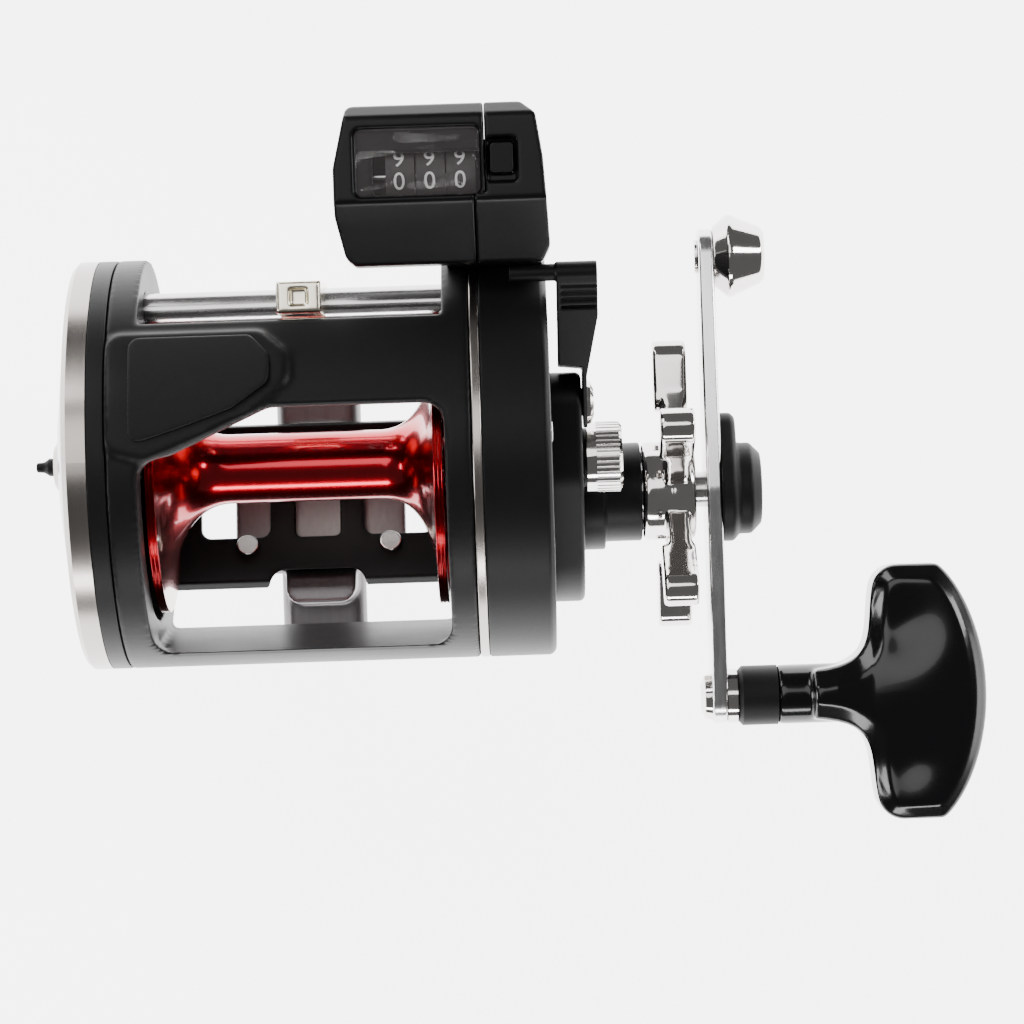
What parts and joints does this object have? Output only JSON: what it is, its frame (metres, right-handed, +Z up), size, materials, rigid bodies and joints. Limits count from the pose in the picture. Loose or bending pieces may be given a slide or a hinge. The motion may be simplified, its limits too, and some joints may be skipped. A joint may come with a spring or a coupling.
{
  "type": "trolling reel",
  "caption": "Conventional level-wind fishing reel with a line counter, a star drag, a clutch lever and a single paddle knob on a balanced handle",
  "frame": {"origin": "middle of the underside of the reel foot, where it seats on the rod", "axes": "+X along the spool axis towards the handle, +Y towards the rod tip, +Z up, away from the rod"},
  "size_m": [0.1589, 0.1191, 0.0777],
  "materials": {
    "frame_paint": "satin charcoal paint",
    "plate_paint": "satin black paint",
    "thumb_pad": "matte",
    "chrome_cover": "polished chrome",
    "chrome_parts": "polished chrome",
    "spool_red": "bright red anodised",
    "steel": "bright",
    "foot_steel": "polished",
    "brass": "machined",
    "gear_plastic": "white moulded",
    "drag_fibre": "woven fibre",
    "arm_aluminium": "polished",
    "knob_black": "gloss black",
    "matte_black": "matte black",
    "counter_black": "semi-gloss black",
    "clear_window": "clear",
    "wheel_black": "black with white digits",
    "guide_ivory": "plated",
    "eye_ceramic": "glazed"
  },
  "bodies": {
    "chassis": {"frame": "frame_paint", "thumb_rest": "thumb_pad", "left_side_plate": "frame_paint", "left_cover": "chrome_cover", "spool_bearings": "steel", "bridge_plate": "steel", "pivot_studs": "steel", "yoke_springs": "steel", "trim_ring": "chrome_cover", "right_side_plate": "plate_paint", "boss_plate": "plate_paint", "one_way_bearing": "steel", "worm_tube": "steel", "guide_rod": "steel", "foot": "foot_steel", "foot_bracket": "frame_paint", "foot_rivets": "steel", "counter_bracket": "frame_paint", "counter_housing": "counter_black", "counter_window": "clear_window", "counter_end_cover": "counter_black", "counter_shaft": "steel", "plate_screws": "steel"},
    "spool_unit": {"spool": "spool_red", "spool_shaft": "steel", "click_gear": "gear_plastic"},
    "handle_unit": {"main_shaft": "steel", "level_wind_gear": "gear_plastic", "drive_gear": "brass", "drag_washers": "drag_fibre", "drag_plates": "steel", "drag_sleeve": "steel", "drag_springs": "steel", "handle_arm": "arm_aluminium", "handle_nut": "steel", "nut_cover": "matte_black", "counterweight": "chrome_parts", "knob_post": "chrome_parts"},
    "knob_unit": {"knob_sleeve": "matte_black", "knob_grip": "knob_black"},
    "star_unit": {"star_wheel": "chrome_parts"},
    "yoke_unit": {"yoke": "steel"},
    "pinion_unit": {"pinion": "brass"},
    "lever_unit": {"clutch_lever": "plate_paint", "lever_screw": "chrome_parts", "clutch_cam": "steel"},
    "cap_unit": {"cast_cap": "chrome_parts"},
    "click_unit": {"click_button": "matte_black", "click_tongue": "gear_plastic"},
    "idler_unit": {"idler_gear": "gear_plastic"},
    "worm_unit": {"worm_gear": "gear_plastic", "worm_shaft": "brass"},
    "guide_unit": {"line_guide": "guide_ivory", "guide_eye": "eye_ceramic", "pawl": "steel"},
    "counter_drive_unit": {"counter_drive_shaft": "steel"},
    "ones_unit": {"ones_wheel": "wheel_black"},
    "tens_unit": {"tens_wheel": "wheel_black"},
    "hundreds_unit": {"hundreds_wheel": "wheel_black"},
    "reset_unit": {"reset_button": "matte_black"}
  },
  "joints": [
    {"name": "handle_turn", "type": "hinge", "parent": "chassis", "child": "handle_unit", "pos_m": [0.06, -0.0034, 0.02395], "axis": [1, 0, 0], "continuous": true},
    {"name": "knob_spin", "type": "hinge", "parent": "handle_unit", "child": "knob_unit", "pos_m": [0.09, -0.0389, 0.02395], "axis": [1, 0, 0], "continuous": true},
    {"name": "star_turn", "type": "hinge", "parent": "handle_unit", "child": "star_unit", "pos_m": [0.06, -0.0034, 0.02395], "axis": [1, 0, 0], "range_deg": [-180, 180]},
    {"name": "spool_turn", "type": "hinge", "parent": "chassis", "child": "spool_unit", "pos_m": [0, 0.0025, 0.04], "axis": [1, 0, 0], "continuous": true},
    {"name": "yoke_slide", "type": "slide", "parent": "chassis", "child": "yoke_unit", "axis": [1, 0, 0], "range_m": [0, 0.00161]},
    {"name": "pinion_turn", "type": "hinge", "parent": "yoke_unit", "child": "pinion_unit", "pos_m": [0.035, 0.0025, 0.04], "axis": [1, 0, 0], "continuous": true},
    {"name": "lever_turn", "type": "hinge", "parent": "chassis", "child": "lever_unit", "pos_m": [0.046, 0.0115, 0.047], "axis": [1, 0, 0], "range_deg": [0, 20]},
    {"name": "cap_turn", "type": "hinge", "parent": "chassis", "child": "cap_unit", "pos_m": [0.05, 0.0025, 0.04], "axis": [1, 0, 0], "range_deg": [-180, 180]},
    {"name": "click_slide", "type": "slide", "parent": "chassis", "child": "click_unit", "axis": [0, 0, -1], "range_m": [0, 0.0024]},
    {"name": "idler_turn", "type": "hinge", "parent": "chassis", "child": "idler_unit", "pos_m": [0.0307, 0.0185, 0.03581], "axis": [1, 0, 0], "continuous": true},
    {"name": "worm_turn", "type": "hinge", "parent": "chassis", "child": "worm_unit", "pos_m": [0, 0.0287, 0.048], "axis": [1, 0, 0], "continuous": true},
    {"name": "guide_slide", "type": "slide", "parent": "chassis", "child": "guide_unit", "axis": [1, 0, 0], "range_m": [-0.0195, 0.0165]},
    {"name": "counter_drive_turn", "type": "hinge", "parent": "chassis", "child": "counter_drive_unit", "pos_m": [0.0336, 0.03401, 0.04343], "axis": [0, 0.6524, 0.7579], "continuous": true},
    {"name": "ones_turn", "type": "hinge", "parent": "chassis", "child": "ones_unit", "pos_m": [0.027, 0.0475, 0.068], "axis": [1, 0, 0], "continuous": true},
    {"name": "tens_turn", "type": "hinge", "parent": "chassis", "child": "tens_unit", "pos_m": [0.022, 0.0475, 0.068], "axis": [1, 0, 0], "continuous": true},
    {"name": "hundreds_turn", "type": "hinge", "parent": "chassis", "child": "hundreds_unit", "pos_m": [0.017, 0.0475, 0.068], "axis": [1, 0, 0], "continuous": true},
    {"name": "reset_press", "type": "slide", "parent": "chassis", "child": "reset_unit", "axis": [0, 0, -1], "range_m": [0, 0.0015], "stiffness_N_per_m": 250}
  ],
  "couplings": [
    {"joint": "spool_turn", "follows": "handle_turn", "ratio": -4.1818},
    {"joint": "pinion_turn", "follows": "handle_turn", "ratio": -4.1818},
    {"joint": "idler_turn", "follows": "handle_turn", "ratio": -1.1842},
    {"joint": "worm_turn", "follows": "handle_turn", "ratio": 3},
    {"joint": "counter_drive_turn", "follows": "handle_turn", "ratio": 3},
    {"joint": "ones_turn", "follows": "handle_turn", "ratio": 0.2},
    {"joint": "tens_turn", "follows": "handle_turn", "ratio": 0.02},
    {"joint": "hundreds_turn", "follows": "handle_turn", "ratio": 0.002},
    {"joint": "yoke_slide", "follows": "lever_turn", "m_per_rad": 0.0045837}
  ]
}
